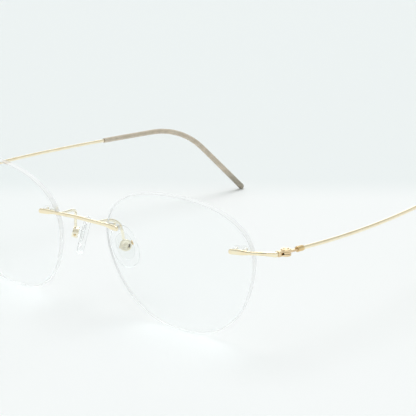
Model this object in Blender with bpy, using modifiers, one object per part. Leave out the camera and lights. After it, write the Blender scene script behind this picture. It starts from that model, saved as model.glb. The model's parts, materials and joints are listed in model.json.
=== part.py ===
"""Rimless eyeglasses, modelled as the separate pieces they are put together from.

The frame stands open on the lower edges of its two lenses and on its two temple tips.
+X is the wearer's left, the lenses face -Y, the temples run back along +Y, and +Z is up.
Lengths in this file are millimetres until the last step, which scales the meshes to metres.
Every paired piece is made on the left (+X) side and mirrored to the right.
"""

import math

import bmesh
import bpy
from mathutils import Matrix, Vector

MM = 0.001

# Lenses: a shell of even thickness, edged to a shape that is wider above than below.
LENS_WIDTH = 50.1
LENS_HEIGHT = 41.8
LENS_GAP = 20.0
LENS_THICKNESS = 1.7
LENS_RADIUS = 110.0
LENS_TILT = 10.8
LENS_WRAP = 3.1
LENS_TOP_POWER = 2.17
LENS_BOTTOM_POWER = 2.54
LENS_WIDER_ABOVE = 0.176
LENS_LEAN = 0.073
LENS_NOSE_CUT = 0.047
BLANK_RADIUS = 36.0

# Compression mounts: two pins of each bar pass through the lens in a twin sleeve.
PIN_RADIUS = 0.40
SLEEVE_BORE = 0.45
SLEEVE_RADIUS = 0.70
LENS_HOLE = 0.76
SLEEVE_PLATE = 0.60
MOUNT_GAP = 0.10
PIN_STICK_OUT = 0.25
BRIDGE_MOUNT_V = 7.7
BRIDGE_PINS_U = (-20.5, -23.1)
END_MOUNT_V = 8.1
END_PINS_U = (20.7, 23.5)

# Bars: flattened where they lie on a lens, rounder where they leave it.
BAR_TALL = 0.76
BAR_SLIM = 0.50
BAR_DEPTH = 0.48
BAR_GAP = 0.05
BRIDGE_TIP_U = -19.15
END_TIP_U = 19.4
BRIDGE_CREST = (0.0, -1.5, 28.9)
BRIDGE_SHOULDER = (5.2, -1.2, 28.65)
BRIDGE_EDGE_U = -24.6
END_EDGE_U = 26.0
BAR_CORNER = 0.55
NECK_TALL = 0.72
NECK_BEND = (0.25, -0.35, 0.2)

# Hinges: a fork on the end piece, a tongue on the temple and a vertical screw.
HINGE = (67.0, 9.8, 28.6)
BARREL_RADIUS = 1.45
BARREL_HEIGHT = 1.90
WEB_LENGTH = 3.3
WEB_WIDTH = 1.60
WEB_HEIGHT = 1.50
TONGUE_HEIGHT = 0.60
SHANK_WIDTH = 1.24
HINGE_CLEARANCE = 0.05
HINGE_SCREW_RADIUS = 0.40
HINGE_HEAD_RADIUS = 0.80
HINGE_HEAD_HEIGHT = 0.32
HINGE_HEAD_LIFT = 0.03
COUNTERBORE_DEPTH = 0.25
COLLAR_START = 4.0
COLLAR_LENGTH = 2.3
COLLAR_RADIUS = 0.80
COLLAR_BORE = 0.59

# Temples: a wire that bows out and in, then bends down behind the ear.
WIRE_RADIUS = 0.54
WIRE_START = 4.4
WIRE_END = 139.5
BOW_START = 6.4
BOW_LINEAR = 0.15
BOW_SQUARE = -0.003224
BOW_CUBE = 0.00001083
BEND_START = 92.1
BEND_RADIUS = 35.0
BEND_ANGLE = 42.59
TEMPLE_LENGTH = 146.2
TIP_START = 70.0
TIP_FRONT_RADIUS = 0.85
TIP_END_RADIUS = 1.10
TIP_BORE = 0.61

# Nose pads: a soft oval on a hard insert that rocks on a cross screw in a round box.
PAD_PIVOT = (10.5, 8.5, 20.4)
PAD_SPLAY = 35.0
PAD_LONG_AXIS = (0.39, 0.085, -0.92)
PAD_LENGTH = 12.8
PAD_WIDTH = 7.2
PAD_THICKNESS = 2.1
PAD_BACK = 1.60
PAD_DROP = 0.4
PAD_ROUNDING = 0.55
INSERT_LENGTH = 8.2
INSERT_WIDTH = 4.8
INSERT_THICKNESS = 0.60
INSERT_COVER = 0.45
BOSS_RADIUS = 1.0
BOSS_DEPTH = 0.30
POCKET_GAP = 0.06
BOX_RADIUS = 1.72
BOX_BORE = 1.34
BOX_HALF_DEPTH = 0.90
BOX_BASE = 0.35
PAD_SCREW_RADIUS = 0.35
PAD_SCREW_BORE = 0.41
PAD_SCREW_HEAD = 0.70
PAD_SCREW_HEAD_HEIGHT = 0.35
ARM_RADIUS = 0.42
ARM_ROUTE = (
    (7.45, 0.15, 28.45),
    (7.65, 2.1, 28.4),
    (8.1, 5.2, 28.2),
    (8.9, 7.1, 27.1),
    (9.7, 7.8, 25.0),
)

SCREW_SLOT_WIDTH = 0.18
SCREW_SLOT_DEPTH = 0.14

# How far a cutter runs past what it cuts.
OVERRUN = 3.0

# Colour, roughness and metallic value of each material.
MATERIALS = {
    "gold_metal": ((0.80, 0.62, 0.40), 0.22, 1.0),
    "clear_lens": ((0.92, 0.95, 0.96), 0.03, 0.0),
    "pad_silicone": ((0.88, 0.90, 0.90), 0.25, 0.0),
    "clear_plastic": ((0.90, 0.91, 0.90), 0.15, 0.0),
    "taupe_sleeve": ((0.27, 0.19, 0.14), 0.32, 0.0),
}


# ---- small tools ---------------------------------------------------------------------


def clear_scene():
    """Removes whatever the scene holds."""
    for leftover in list(bpy.data.objects):
        bpy.data.objects.remove(leftover, do_unlink=True)


def add_mesh(name, bm):
    """A new object in the scene from a bmesh, which is freed."""
    mesh = bpy.data.meshes.new(name)
    bm.to_mesh(mesh)
    bm.free()
    piece = bpy.data.objects.new(name, mesh)
    bpy.context.scene.collection.objects.link(piece)
    return piece


def remove(piece):
    """Takes a helper object out of the scene."""
    bpy.data.objects.remove(piece, do_unlink=True)


def evaluated_mesh(piece):
    """The object's mesh with its modifiers or its bevel, and welded, in its own space."""
    bpy.context.view_layer.update()
    graph = bpy.context.evaluated_depsgraph_get()
    mesh = bpy.data.meshes.new_from_object(piece.evaluated_get(graph))
    bm = bmesh.new()
    bm.from_mesh(mesh)
    bmesh.ops.remove_doubles(bm, verts=bm.verts, dist=0.0001)
    bm.to_mesh(mesh)
    bm.free()
    return mesh


def baked(piece):
    """Replaces an object by a plain mesh object with the same name and shape."""
    mesh = evaluated_mesh(piece)
    mesh.transform(piece.matrix_world)
    name = piece.name
    remove(piece)
    mesh.name = name
    result = bpy.data.objects.new(name, mesh)
    bpy.context.scene.collection.objects.link(result)
    return result


def placed(piece, matrix):
    """Moves an object's mesh by a matrix."""
    piece.data.transform(matrix)
    return piece


def boolean(body, tools, operation):
    """Cuts, joins or trims a body with each tool in turn, and removes the tools."""
    for tool in tools:
        step = body.modifiers.new(operation.lower(), "BOOLEAN")
        step.operation = operation
        step.solver = "EXACT"
        step.object = tool
        body.data = evaluated_mesh(body)
        body.modifiers.clear()
        remove(tool)
    return body


def cut(body, *tools):
    return boolean(body, tools, "DIFFERENCE")


def join(body, *tools):
    return boolean(body, tools, "UNION")


def trim(body, tool):
    return boolean(body, (tool,), "INTERSECT")


def axes_at(origin, x_axis, z_axis):
    """A placing matrix whose Z is z_axis and whose X is as near x_axis as can be."""
    z = Vector(z_axis).normalized()
    x = Vector(x_axis)
    x = (x - z * x.dot(z)).normalized()
    y = z.cross(x)
    matrix = Matrix((x, y, z)).transposed().to_4x4()
    matrix.translation = Vector(origin)
    return matrix


def smooth_path(points, steps):
    """Points along a Catmull-Rom curve through the given points."""
    points = [Vector(p) for p in points]
    first = points[0] * 2 - points[1]
    last = points[-1] * 2 - points[-2]
    padded = [first] + points + [last]
    path = []
    for i in range(len(points) - 1):
        a, b, c, d = padded[i : i + 4]
        for k in range(steps):
            t = k / steps
            curve = 2 * b + (c - a) * t
            curve += (2 * a - 5 * b + 4 * c - d) * t**2
            curve += (3 * b - a - 3 * c + d) * t**3
            path.append(curve / 2)
    return path + [points[-1]]


def cylinder(name, start, end, radius, sides=16):
    """A round rod from start to end."""
    start = Vector(start)
    along = Vector(end) - start
    bm = bmesh.new()
    bmesh.ops.create_cone(
        bm,
        cap_ends=True,
        segments=sides,
        radius1=radius,
        radius2=radius,
        depth=along.length,
    )
    rod = add_mesh(name, bm)
    side = Vector((1, 0, 0)) if abs(along.normalized().x) < 0.9 else Vector((0, 1, 0))
    return placed(rod, axes_at(start + along / 2, side, along))


def turned(name, profile, steps=20):
    """A solid turned about Z from (radius, height) points that run down its outside."""
    bm = bmesh.new()
    corners = [bm.verts.new((radius, 0.0, height)) for radius, height in profile]
    for a, b in zip(corners, corners[1:]):
        bm.edges.new((a, b))
    solid = add_mesh(name, bm)
    screw = solid.modifiers.new("turn", "SCREW")
    screw.steps = steps
    screw.render_steps = steps
    screw.use_merge_vertices = True
    screw.merge_threshold = 0.0001
    return baked(solid)


def plate(name, outline, thickness, rounding=0.0):
    """A flat outline in X and Y with a thickness about Z = 0, its edges rounded."""
    curve = bpy.data.curves.new(name, "CURVE")
    curve.dimensions = "2D"
    curve.fill_mode = "BOTH"
    curve.extrude = thickness / 2
    spline = curve.splines.new("POLY")
    spline.points.add(len(outline) - 1)
    for point, (x, y) in zip(spline.points, outline):
        point.co = (x, y, 0.0, 1.0)
    spline.use_cyclic_u = True
    flat = bpy.data.objects.new(name, curve)
    bpy.context.scene.collection.objects.link(flat)
    flat = baked(flat)
    if rounding:
        bevel = flat.modifiers.new("rounding", "BEVEL")
        bevel.width = rounding
        bevel.segments = 2
        bevel.angle_limit = math.radians(60)
        flat = baked(flat)
    return flat


def tube(name, points, radii, rounds=2):
    """A round bar along points, with a radius for each point."""
    curve = bpy.data.curves.new(name, "CURVE")
    curve.dimensions = "3D"
    curve.twist_mode = "Z_UP"
    curve.bevel_depth = 1.0
    curve.bevel_resolution = rounds
    curve.render_resolution_u = 0
    curve.use_fill_caps = True
    spline = curve.splines.new("POLY")
    spline.points.add(len(points) - 1)
    for point, place, radius in zip(spline.points, points, radii):
        point.co = (*place, 1.0)
        point.radius = radius
    wire = bpy.data.objects.new(name, curve)
    bpy.context.scene.collection.objects.link(wire)
    return baked(wire)


def bar(name, stations):
    """A bar lofted through (centre, thickness direction, half depth, half height).

    Its section is a rectangle with cut corners, and its height stays near vertical.
    """
    corner = BAR_CORNER
    bm = bmesh.new()
    rings = []
    for i, (centre, across, depth, height) in enumerate(stations):
        before = Vector(stations[max(i - 1, 0)][0])
        after = Vector(stations[min(i + 1, len(stations) - 1)][0])
        along = (after - before).normalized()
        side = Vector(across)
        side = (side - along * side.dot(along)).normalized()
        up = along.cross(side)
        ring = []
        for x, z in (
            (1, corner),
            (corner, 1),
            (-corner, 1),
            (-1, corner),
            (-1, -corner),
            (-corner, -1),
            (corner, -1),
            (1, -corner),
        ):
            place = Vector(centre) + side * (x * depth) + up * (z * height)
            ring.append(bm.verts.new(place))
        rings.append(ring)
    for a, b in zip(rings, rings[1:]):
        for k in range(len(a)):
            n = (k + 1) % len(a)
            bm.faces.new((a[k], a[n], b[n], b[k]))
    bm.faces.new(rings[0])
    bm.faces.new(rings[-1])
    bmesh.ops.recalc_face_normals(bm, faces=bm.faces)
    return add_mesh(name, bm)


def circle(radius, count, centre=(0.0, 0.0), start=0.0, end=360.0):
    """Points (x, y) around an arc of a circle, its end left out when it is a full turn."""
    full = abs(end - start - 360.0) < 1e-6
    gaps = count if full else count - 1
    points = []
    for i in range(count):
        angle = math.radians(start + (end - start) * i / gaps)
        x = centre[0] + radius * math.cos(angle)
        y = centre[1] + radius * math.sin(angle)
        points.append((x, y))
    return points


def oval(length, width, count=32, power=2.3):
    """A full oval outline with its length along X."""
    points = []
    for i in range(count):
        angle = 2 * math.pi * i / count
        c, s = math.cos(angle), math.sin(angle)
        x = math.copysign(abs(c) ** (2 / power), c) * length / 2
        y = math.copysign(abs(s) ** (2 / power), s) * width / 2
        points.append((x, y))
    return points


def stadium(length, width, count=9):
    """A straight-sided outline with round ends, its length along X."""
    reach = (length - width) / 2
    right = circle(width / 2, count, (reach, 0.0), -90, 90)
    left = circle(width / 2, count, (-reach, 0.0), 90, 270)
    return right + left


def screw_slot(centre, across, along):
    """A cutter for the driver slot in a screw head at centre, whose axis is along."""
    bm = bmesh.new()
    bmesh.ops.create_cube(bm, size=1.0)
    size = (OVERRUN, SCREW_SLOT_WIDTH, 2 * SCREW_SLOT_DEPTH)
    bmesh.ops.scale(bm, vec=size, verts=bm.verts)
    return placed(add_mesh("slot", bm), axes_at(centre, across, along))


# ---- lenses and the places on them ---------------------------------------------------


def lens_outline(count=72):
    """The left lens's edge: u towards the temple and v up, about its box centre."""
    points = []
    for i in range(count):
        angle = 2 * math.pi * i / count
        c, s = math.cos(angle), math.sin(angle)
        power = LENS_TOP_POWER if s > 0 else LENS_BOTTOM_POWER
        reach = abs(2 * c / LENS_WIDTH) ** power + abs(2 * s / LENS_HEIGHT) ** power
        radius = reach ** (-1 / power)
        u, v = radius * c, radius * s
        u *= 1 + LENS_WIDER_ABOVE * v / (LENS_HEIGHT / 2)
        u += LENS_LEAN * v
        u += LENS_NOSE_CUT * LENS_WIDTH * max(-c, 0) * max(-s, 0)
        points.append((u, v))
    return points


def sag(u, v, lift=0.0):
    """How far back the surface lies at (u, v), lift being its height off the front."""
    return LENS_RADIUS - math.sqrt((LENS_RADIUS + lift) ** 2 - u**2 - v**2)


def lens_pose():
    """Places the left lens: tilted, wrapped and standing on its lower edge."""
    tilt = Matrix.Rotation(math.radians(LENS_TILT), 4, "X")
    wrap = Matrix.Rotation(math.radians(LENS_WRAP), 4, "Z")
    turn = wrap @ tilt
    lowest = min((turn @ Vector((u, sag(u, v), v))).z for u, v in lens_outline())
    centre_x = (LENS_WIDTH + LENS_GAP) / 2
    return Matrix.Translation((centre_x, 0.0, -lowest)) @ turn


def on_lens(u, v, lift):
    """A point at (u, v) on the left lens, lift in front of its front face."""
    pose = lens_pose()
    centre = pose @ Vector((0.0, LENS_RADIUS, 0.0))
    front = pose @ Vector((u, sag(u, v), v))
    return centre + (front - centre).normalized() * (LENS_RADIUS + lift)


def lens_normal(u, v):
    """The direction out of the front face at (u, v)."""
    return (on_lens(u, v, 1.0) - on_lens(u, v, 0.0)).normalized()


def make_lens():
    """A turned blank, edged to the outline and drilled for its four pins."""
    rings = [BLANK_RADIUS * i / 6 for i in range(7)]
    front = [(r, -sag(r, 0.0)) for r in rings]
    back = [(r, -sag(r, 0.0, -LENS_THICKNESS)) for r in reversed(rings)]
    upright = Matrix.Rotation(math.radians(90), 4, "X")
    lens = placed(turned("lens_left", front + back, 48), upright)
    edging = placed(plate("edging", lens_outline(), 30.0), upright)
    placed(trim(lens, edging), lens_pose())
    for mount_v, pins in ((BRIDGE_MOUNT_V, BRIDGE_PINS_U), (END_MOUNT_V, END_PINS_U)):
        for u in pins:
            front_end = on_lens(u, mount_v, OVERRUN)
            back_end = on_lens(u, mount_v, -LENS_THICKNESS - OVERRUN)
            cut(lens, cylinder("hole", front_end, back_end, LENS_HOLE))
    return lens


def make_mount(name, mount_v, pins):
    """The twin plastic sleeve behind the lens, and the two pins that fill it."""
    plate_top = -LENS_THICKNESS - MOUNT_GAP
    plate_end = plate_top - SLEEVE_PLATE
    middle = sum(pins) / 2
    centre = on_lens(middle, mount_v, (plate_top + plate_end) / 2)
    along = on_lens(pins[0], mount_v, 0.0) - on_lens(pins[1], mount_v, 0.0)
    length = along.length + 2 * (SLEEVE_RADIUS + 0.5)
    width = 2 * (SLEEVE_RADIUS + 0.35)
    bushing = plate(name + "_bushing_left", stadium(length, width), SLEEVE_PLATE, 0.15)
    placed(bushing, axes_at(centre, along, lens_normal(middle, mount_v)))
    made = [bushing]
    for label, u in zip(("inner", "outer"), pins):
        front = on_lens(u, mount_v, -0.1)
        inside = on_lens(u, mount_v, plate_end + 0.1)
        join(bushing, cylinder("sleeve", front, inside, SLEEVE_RADIUS))
        start = on_lens(u, mount_v, OVERRUN)
        end = on_lens(u, mount_v, plate_end - OVERRUN)
        cut(bushing, cylinder("bore", start, end, SLEEVE_BORE))
        pin_name = f"{name}_pin_left_{label}"
        pin_start = on_lens(u, mount_v, 0.0)
        pin_end = on_lens(u, mount_v, plate_end - PIN_STICK_OUT)
        made.append(cylinder(pin_name, pin_start, pin_end, PIN_RADIUS))
    return made


# ---- bridge and end pieces -----------------------------------------------------------


def bar_on_lens(tip_u, edge_u, mount_v):
    """Stations of a bar from its rounded tip to the lens's edge, flat and then slim."""
    lift = BAR_GAP + BAR_DEPTH
    # Share of the way to the edge, and of the full depth and height there.
    shape = (
        (0.0, 0.45, 0.50),
        (0.04, 0.80, 0.82),
        (0.10, 1.00, 1.00),
        (0.50, 1.00, 0.96),
        (0.72, 1.00, 0.80),
        (1.0, 1.00, BAR_SLIM / BAR_TALL),
    )
    stations = []
    for share, depth, height in shape:
        u = tip_u + (edge_u - tip_u) * share
        place = on_lens(u, mount_v, lift)
        facing = lens_normal(u, mount_v)
        stations.append((place, facing, BAR_DEPTH * depth, BAR_TALL * height))
    return stations


def make_bridge():
    """One bar from lens to lens, arched up and forward over the nose."""
    half = bar_on_lens(BRIDGE_TIP_U, BRIDGE_EDGE_U, BRIDGE_MOUNT_V)
    edge = half[-1][0]
    shoulder = Vector(BRIDGE_SHOULDER)
    crest = Vector(BRIDGE_CREST)
    mirror = Vector((-shoulder.x, shoulder.y, shoulder.z))
    arch = smooth_path([edge, shoulder, crest, mirror], 4)[1:9]
    forward = Vector((0, -1, 0))
    half += [(place, forward, BAR_DEPTH, BAR_SLIM) for place in arch]
    other = [
        (Vector((-p.x, p.y, p.z)), Vector((-n[0], n[1], n[2])), d, h)
        for p, n, d, h in reversed(half[:-1])
    ]
    return bar("bridge", half + other)


def make_endpiece():
    """The bar on the lens, carried on round the lens's edge to the hinge."""
    stations = bar_on_lens(END_TIP_U, END_EDGE_U, END_MOUNT_V)
    edge = stations[-1][0]
    facing = lens_normal(END_EDGE_U, END_MOUNT_V)
    root = Vector(HINGE) - temple_heading() * (WEB_LENGTH + BAR_GAP)
    before_root = root - temple_heading() * 0.6
    neck = edge.lerp(before_root, 0.55) + Vector(NECK_BEND)
    path = smooth_path([edge, neck, before_root], 4)[1:] + [root]
    outward = Vector((1.0, -0.2, 0.0))
    count = len(path)
    for i, place in enumerate(path, start=1):
        share = i / count
        turn = facing.lerp(outward, share)
        height = BAR_SLIM + (NECK_TALL - BAR_SLIM) * share**2
        stations.append((place, turn, BAR_DEPTH, height))
    return bar("endpiece_left", stations)


# ---- hinges --------------------------------------------------------------------------


def temple_heading():
    """The temple's direction where it leaves the hinge."""
    return Vector((BOW_LINEAR, 1.0, 0.0)).normalized()


def hinge_frame(height):
    """A placing matrix on the hinge axis, with X along the temple."""
    x, y, z = HINGE
    return axes_at((x, y, z + height), temple_heading(), (0, 0, 1))


def hinge_bore():
    """A cutter for the hinge screw's hole."""
    x, y, z = HINGE
    radius = HINGE_SCREW_RADIUS + HINGE_CLEARANCE
    return cylinder("bore", (x, y, z - OVERRUN), (x, y, z + OVERRUN), radius)


def make_fork():
    """Two ears with a slot between them, on a web that meets the end piece."""
    side = WEB_WIDTH / 2
    outline = [(-WEB_LENGTH, -side), (0.0, -side), (0.0, side), (-WEB_LENGTH, side)]
    fork = plate("hinge_fork_left", outline, WEB_HEIGHT, 0.12)
    barrel = plate("barrel", circle(BARREL_RADIUS, 24), BARREL_HEIGHT, 0.12)
    join(fork, barrel)
    placed(fork, hinge_frame(0.0))
    x, y, z = HINGE
    gap = TONGUE_HEIGHT / 2 + HINGE_CLEARANCE
    room = BARREL_RADIUS + 0.15
    slot = cylinder("slot", (x, y, z - gap), (x, y, z + gap), room, 28)
    sink_floor = z + BARREL_HEIGHT / 2 - COUNTERBORE_DEPTH
    sink_radius = HINGE_HEAD_RADIUS + HINGE_CLEARANCE
    sink = cylinder("sink", (x, y, sink_floor), (x, y, z + OVERRUN), sink_radius)
    return cut(fork, slot, hinge_bore(), sink)


def make_tongue():
    """The middle knuckle and the shank that carries it on the temple."""
    side = SHANK_WIDTH / 2
    shank = COLLAR_START - BAR_GAP
    knuckle = BARREL_RADIUS - 0.03
    meeting = math.degrees(math.asin(side / knuckle))
    outline = circle(knuckle, 19, (0.0, 0.0), meeting, 360 - meeting)
    outline += [(shank, -side), (shank, side)]
    tongue = plate("hinge_tongue_left", outline, TONGUE_HEIGHT, 0.08)
    return cut(placed(tongue, hinge_frame(0.0)), hinge_bore())


def make_hinge_screw():
    """A slotted screw down through both ears and the tongue."""
    half = BARREL_HEIGHT / 2
    seat = half - COUNTERBORE_DEPTH + HINGE_HEAD_LIFT
    top = seat + HINGE_HEAD_HEIGHT
    profile = [
        (0.0, top),
        (HINGE_HEAD_RADIUS - 0.12, top),
        (HINGE_HEAD_RADIUS, top - 0.10),
        (HINGE_HEAD_RADIUS, seat),
        (HINGE_SCREW_RADIUS, seat),
        (HINGE_SCREW_RADIUS, -half + 0.05),
        (HINGE_SCREW_RADIUS - 0.1, -half - 0.05),
        (0.0, -half - 0.05),
    ]
    screw = placed(turned("hinge_screw_left", profile, 16), hinge_frame(0.0))
    x, y, z = HINGE
    return cut(screw, screw_slot((x, y, z + top), (1, 0.5, 0), (0, 0, 1)))


def make_collar():
    """The ferrule that holds the temple wire, bored from behind."""
    chamfer = 0.15
    length = COLLAR_LENGTH
    depth = length - (WIRE_START - COLLAR_START) + 0.1
    profile = [
        (0.0, length),
        (COLLAR_RADIUS - chamfer, length),
        (COLLAR_RADIUS, length - chamfer),
        (COLLAR_RADIUS, 0.0),
        (COLLAR_BORE, 0.0),
        (COLLAR_BORE, depth),
        (0.0, depth),
    ]
    heading = temple_heading()
    rear = Vector(HINGE) + heading * (COLLAR_START + length)
    return placed(
        turned("temple_collar_left", profile, 16), axes_at(rear, (0, 0, 1), -heading)
    )


# ---- temples -------------------------------------------------------------------------


def temple_point(distance):
    """A point on the left temple's middle line, distance along it from the hinge."""
    angle = math.radians(BEND_ANGLE)
    bend = BEND_RADIUS * angle
    if distance < BEND_START:
        back, drop = distance, 0.0
    elif distance < BEND_START + bend:
        turn = (distance - BEND_START) / BEND_RADIUS
        back = BEND_START + BEND_RADIUS * math.sin(turn)
        drop = BEND_RADIUS * (1 - math.cos(turn))
    else:
        rest = distance - BEND_START - bend
        back = BEND_START + BEND_RADIUS * math.sin(angle) + rest * math.cos(angle)
        drop = BEND_RADIUS * (1 - math.cos(angle)) + rest * math.sin(angle)
    beyond = max(0.0, back - BOW_START)
    bow = BOW_LINEAR * back + BOW_SQUARE * beyond**2 + BOW_CUBE * beyond**3
    x, y, z = HINGE
    return Vector((x + bow, y + back, z - drop))


def temple_stations(start, end):
    """Distances from start to end: wide steps on the straight, close ones in the bend."""
    grid = [10.0 * i for i in range(1, 9)]
    grid += [87.0 + 3.0 * i for i in range(12)]
    grid += [124.5 + 4.5 * i for i in range(5)]
    return [start] + [d for d in grid if start + 1.0 < d < end - 1.0] + [end]


def make_temple_wire():
    stations = temple_stations(WIRE_START, WIRE_END)
    points = [temple_point(d) for d in stations]
    return tube("temple_wire_left", points, [WIRE_RADIUS] * len(points))


def make_temple_tip():
    """A soft sleeve that thickens towards its rounded end, bored for the wire."""
    stations = temple_stations(TIP_START + 0.3, TEMPLE_LENGTH - 1.2)
    length = TEMPLE_LENGTH - TIP_START
    radii = [
        TIP_FRONT_RADIUS
        + (TIP_END_RADIUS - TIP_FRONT_RADIUS) * (d - TIP_START) / length
        for d in stations
    ]
    stations = [TIP_START] + stations
    radii = [TIP_FRONT_RADIUS - 0.12] + radii
    for before_end, share in ((0.65, 0.90), (0.25, 0.68), (0.0, 0.38)):
        stations.append(TEMPLE_LENGTH - before_end)
        radii.append(TIP_END_RADIUS * share)
    sleeve = tube("temple_tip_left", [temple_point(d) for d in stations], radii, 3)
    bored = temple_stations(TIP_START - 2.0, WIRE_END + 0.3)
    points = [temple_point(d) for d in bored]
    return cut(sleeve, tube("bore", points, [TIP_BORE] * len(points)))


# ---- nose pads -----------------------------------------------------------------------


def pad_axes():
    """The pad's facing (towards the nose), its long axis (down) and its rocking axis."""
    splay = math.radians(PAD_SPLAY)
    level = Vector((-math.cos(splay), math.sin(splay), 0.0))
    long_axis = Vector(PAD_LONG_AXIS).normalized()
    facing = (level - long_axis * level.dot(long_axis)).normalized()
    return facing, long_axis, facing.cross(long_axis)


def pad_frame(height, drop=0.0):
    """A placing matrix with Z towards the nose and X down the pad's length."""
    facing, long_axis, _ = pad_axes()
    place = Vector(PAD_PIVOT) + facing * height + long_axis * drop
    return axes_at(place, long_axis, facing)


def pad_bore():
    """A cutter for the cross screw's hole."""
    reach = pad_axes()[2] * OVERRUN
    pivot = Vector(PAD_PIVOT)
    return cylinder("bore", pivot - reach, pivot + reach, PAD_SCREW_BORE)


def make_pad_box():
    """A round cup on the arm's end, open towards the pad and drilled across."""
    half = BOX_HALF_DEPTH
    profile = [
        (0.0, BOX_BASE - half),
        (BOX_BORE, BOX_BASE - half),
        (BOX_BORE, half),
        (BOX_RADIUS, half),
        (BOX_RADIUS, 0.15 - half),
        (BOX_RADIUS - 0.15, -half),
        (0.0, -half),
    ]
    box = placed(turned("pad_box_left", profile, 24), pad_frame(0.0))
    return cut(box, pad_bore())


def make_pad_insert():
    """A hard oval plate with a boss that hangs on the cross screw."""
    plate_low = PAD_BACK + INSERT_COVER
    middle = plate_low + INSERT_THICKNESS / 2
    outline = oval(INSERT_LENGTH, INSERT_WIDTH, 24)
    insert = plate("pad_insert_left", outline, INSERT_THICKNESS, 0.12)
    placed(insert, pad_frame(middle, PAD_DROP))
    facing = pad_axes()[0]
    pivot = Vector(PAD_PIVOT)
    boss_end = pivot + facing * (plate_low + 0.2)
    join(insert, cylinder("boss", pivot - facing * BOSS_DEPTH, boss_end, BOSS_RADIUS))
    return cut(insert, pad_bore())


def make_nose_pad():
    """The soft oval pad, moulded round the insert and flat on its nose side."""
    pad = plate("nose_pad_left", oval(PAD_LENGTH, PAD_WIDTH), PAD_THICKNESS, PAD_ROUNDING)
    placed(pad, pad_frame(PAD_BACK + PAD_THICKNESS / 2, PAD_DROP))
    gap = POCKET_GAP
    outline = oval(INSERT_LENGTH + 2 * gap, INSERT_WIDTH + 2 * gap, 24)
    pocket = plate("pocket", outline, INSERT_THICKNESS + 2 * gap)
    middle = PAD_BACK + INSERT_COVER + INSERT_THICKNESS / 2
    placed(pocket, pad_frame(middle, PAD_DROP))
    facing = pad_axes()[0]
    pivot = Vector(PAD_PIVOT)
    mouth = pivot + facing * (PAD_BACK - 1.0)
    floor = pivot + facing * (middle - 0.1)
    join(pocket, cylinder("mouth", mouth, floor, BOSS_RADIUS + gap))
    return cut(pad, pocket)


def make_pad_screw():
    """A slotted screw across the box and the boss, along the rocking axis."""
    reach = BOX_RADIUS + 0.12
    top = reach + PAD_SCREW_HEAD_HEIGHT
    profile = [
        (0.0, top),
        (PAD_SCREW_HEAD - 0.15, top),
        (PAD_SCREW_HEAD, top - 0.15),
        (PAD_SCREW_HEAD, reach),
        (PAD_SCREW_RADIUS, reach),
        (PAD_SCREW_RADIUS, -reach),
        (0.0, -reach),
    ]
    _, long_axis, across = pad_axes()
    pose = axes_at(PAD_PIVOT, long_axis, -across)
    screw = placed(turned("pad_screw_left", profile, 12), pose)
    end = Vector(PAD_PIVOT) - across * top
    return cut(screw, screw_slot(end, long_axis, -across))


def make_pad_arm():
    """A bent wire from behind the bridge, back, down and out to the box."""
    facing, long_axis, _ = pad_axes()
    box_top = Vector(PAD_PIVOT) - facing * 0.35 - long_axis * (BOX_RADIUS + 0.04)
    points = smooth_path([*ARM_ROUTE, box_top], 4)
    return tube("pad_arm_left", points, [ARM_RADIUS] * len(points))


# ---- assembly ------------------------------------------------------------------------


def mirrored(piece):
    """The right-hand twin of a left-hand piece."""
    bm = bmesh.new()
    bm.from_mesh(piece.data)
    bmesh.ops.scale(bm, vec=(-1, 1, 1), verts=bm.verts)
    bmesh.ops.reverse_faces(bm, faces=bm.faces)
    return add_mesh(piece.name.replace("left", "right"), bm)


def make_material(name):
    colour, roughness, metallic = MATERIALS[name]
    material = bpy.data.materials.new(name)
    material.use_nodes = True
    shader = material.node_tree.nodes["Principled BSDF"]
    shader.inputs["Base Color"].default_value = (*colour, 1.0)
    shader.inputs["Roughness"].default_value = roughness
    shader.inputs["Metallic"].default_value = metallic
    if name.startswith("clear"):
        shader.inputs["Alpha"].default_value = 0.3
    return material


def build_pieces():
    """Every piece of the left side with its material and moving body, then its twin."""
    bridge_mount = make_mount("bridge", BRIDGE_MOUNT_V, BRIDGE_PINS_U)
    end_mount = make_mount("endpiece", END_MOUNT_V, END_PINS_U)
    pins = bridge_mount[1:] + end_mount[1:]
    left_side = [
        ("clear_lens", "front", [make_lens()]),
        ("clear_plastic", "front", [bridge_mount[0], end_mount[0]]),
        ("gold_metal", "front", pins),
        ("gold_metal", "front", [make_endpiece(), make_fork(), make_hinge_screw()]),
        ("gold_metal", "front", [make_pad_arm(), make_pad_box(), make_pad_screw()]),
        ("gold_metal", "temple", [make_tongue(), make_collar(), make_temple_wire()]),
        ("taupe_sleeve", "temple", [make_temple_tip()]),
        ("clear_plastic", "pad", [make_pad_insert()]),
        ("pad_silicone", "pad", [make_nose_pad()]),
    ]
    materials = {name: make_material(name) for name in MATERIALS}
    bridge = make_bridge()
    bridge.data.materials.append(materials["gold_metal"])
    pieces = [(bridge, "front")]
    for material, body, group in left_side:
        for piece in group:
            for side, twin in (("left", piece), ("right", mirrored(piece))):
                twin.data.materials.clear()
                twin.data.materials.append(materials[material])
                name = body if body == "front" else f"{body}_{side}"
                pieces.append((twin, name))
    return pieces


def middle_of(pieces):
    """The middle of all the pieces' box, at the height of its floor."""
    corners = [vertex.co for piece, _ in pieces for vertex in piece.data.vertices]
    low = Vector([min(c[k] for c in corners) for k in range(3)])
    high = Vector([max(c[k] for c in corners) for k in range(3)])
    return Vector(((low.x + high.x) / 2, (low.y + high.y) / 2, low.z))


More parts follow.
